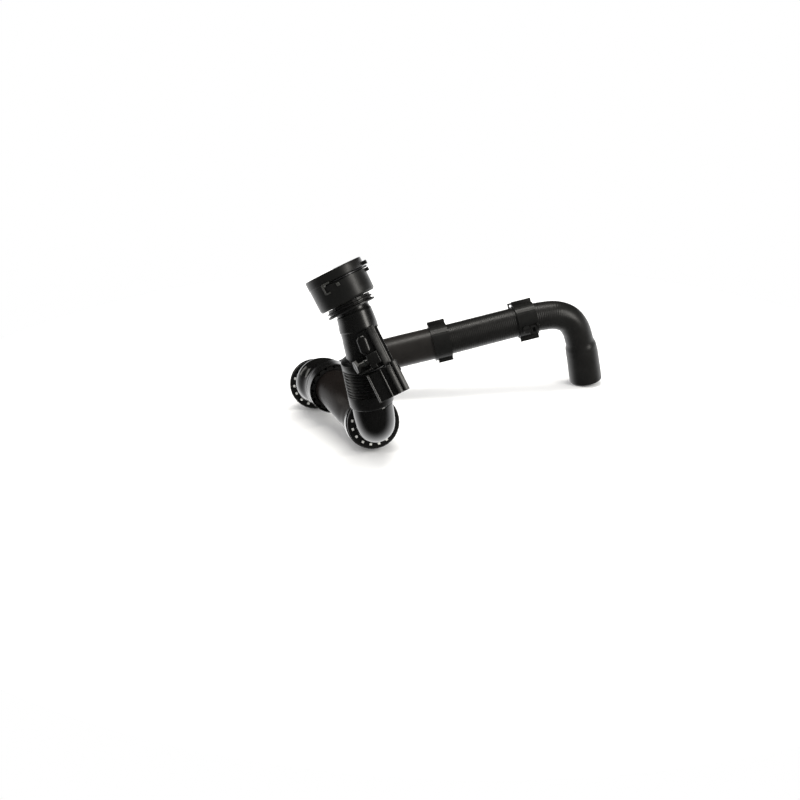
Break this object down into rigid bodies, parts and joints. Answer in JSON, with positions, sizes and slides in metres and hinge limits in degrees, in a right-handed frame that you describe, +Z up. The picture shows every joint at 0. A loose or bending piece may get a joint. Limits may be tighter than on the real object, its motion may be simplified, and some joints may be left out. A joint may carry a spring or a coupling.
{
  "type": "coolant hose assembly",
  "caption": "Moulded coolant hose run with a quick connector, bellows, U-shaped lower bend, windowed coupling rings, hinged clips and a plain outlet cuff.",
  "frame": {"origin": "middle of the bounding box's base; the two bells and the cuff's lip stand on z = 0", "axes": "+X to the cuff side, +Y from the connector side towards the outlet limb, +Z up"},
  "size_m": [0.3532, 0.2912, 0.205],
  "materials": {
    "black_plastic": "satin black moulded plastic",
    "glossy_black_plastic": "glossy black moulded plastic",
    "hose_rubber": "matte black rubber with a fine knit finish",
    "pipe_rubber": "smooth dark rubber, slightly brown",
    "seal_rubber": "dark seal rubber",
    "pale_plastic": "pale plastic",
    "spring_wire": "dark spring wire"
  },
  "bodies": {
    "run": {"coupling_seal_a": "seal_rubber", "coupling_seal_b": "seal_rubber", "notched_ring": "black_plastic", "sleeve_seal": "seal_rubber", "bellows_hose": "hose_rubber", "lower_elbow": "glossy_black_plastic", "diagonal_tube": "black_plastic", "left_sleeve": "glossy_black_plastic", "rear_elbow": "glossy_black_plastic", "long_pipe": "pipe_rubber", "outlet_hose": "hose_rubber", "hose_joiner": "black_plastic", "clip_1_rear_shell": "black_plastic", "clip_1_hinge_pin": "spring_wire", "clip_2_rear_shell": "black_plastic", "clip_2_hinge_pin": "spring_wire"},
    "neck": {"neck_pipe": "glossy_black_plastic", "connector_socket": "black_plastic", "connector_o_ring": "seal_rubber", "support_ring": "black_plastic", "dust_collar": "hose_rubber", "ribbed_bracket": "black_plastic"},
    "wire": {"wire_clip": "spring_wire"},
    "bleed_slider": {"bleed_screw_o_ring": "seal_rubber"},
    "bleed": {"bleed_screw": "black_plastic"},
    "ring_a": {"coupling_ring_a": "black_plastic", "finger_ring_a": "pale_plastic"},
    "ring_b": {"coupling_ring_b": "black_plastic", "finger_ring_b": "pale_plastic"},
    "clip_1_front": {"clip_1_front_shell": "black_plastic"},
    "clip_2_front": {"clip_2_front_shell": "black_plastic"},
    "stud": {"clip_2_stud": "black_plastic"}
  },
  "joints": [
    {"name": "bellows_bend", "type": "hinge", "parent": "run", "child": "neck", "pos_m": [-0.08791, -0.09932, 0.08509], "axis": [0, 1, 0], "range_deg": [-8, 8], "stiffness_Nm_per_rad": 4, "deforming": ["bellows_hose"]},
    {"name": "wire_clip_pull", "type": "slide", "parent": "neck", "child": "wire", "axis": [0.8957, 0.1156, 0.4294], "range_m": [0, 0.0045]},
    {"name": "bleed_screw_lift", "type": "slide", "parent": "neck", "child": "bleed_slider", "axis": [-0.8648, -0.3946, -0.3104], "range_m": [0, 0.004]},
    {"name": "bleed_screw_turn", "type": "hinge", "parent": "bleed_slider", "child": "bleed", "pos_m": [-0.08613, -0.13078, 0.11522], "axis": [-0.8648, -0.3946, -0.3104], "range_deg": [0, 720]},
    {"name": "coupling_ring_a_turn", "type": "hinge", "parent": "run", "child": "ring_a", "pos_m": [-0.08276, -0.07533, 0.03073], "axis": [0.2201, -0.9572, 0.1879], "range_deg": [0, 22.5]},
    {"name": "coupling_ring_b_turn", "type": "hinge", "parent": "run", "child": "ring_b", "pos_m": [-0.14976, 0.03965, 0.0286], "axis": [-0.0804, -0.987, 0.1389], "range_deg": [0, 22.5]},
    {"name": "clip_1_open", "type": "hinge", "parent": "run", "child": "clip_1_front", "pos_m": [-0.01691, 0.10254, 0.0801], "axis": [-0.9683, -0.1439, -0.2044], "range_deg": [0, 70]},
    {"name": "clip_2_open", "type": "hinge", "parent": "run", "child": "clip_2_front", "pos_m": [0.07885, 0.11657, 0.09985], "axis": [-0.9671, -0.154, -0.2024], "range_deg": [0, 70]},
    {"name": "clip_2_stud_turn", "type": "hinge", "parent": "clip_2_front", "child": "stud", "pos_m": [0.08302, 0.10515, 0.06935], "axis": [0.0732, -0.9307, 0.3584], "range_deg": [0, 90]}
  ],
  "couplings": [
    {"joint": "bleed_screw_turn", "follows": "bleed_screw_lift", "rad_per_m": 3141}
  ]
}
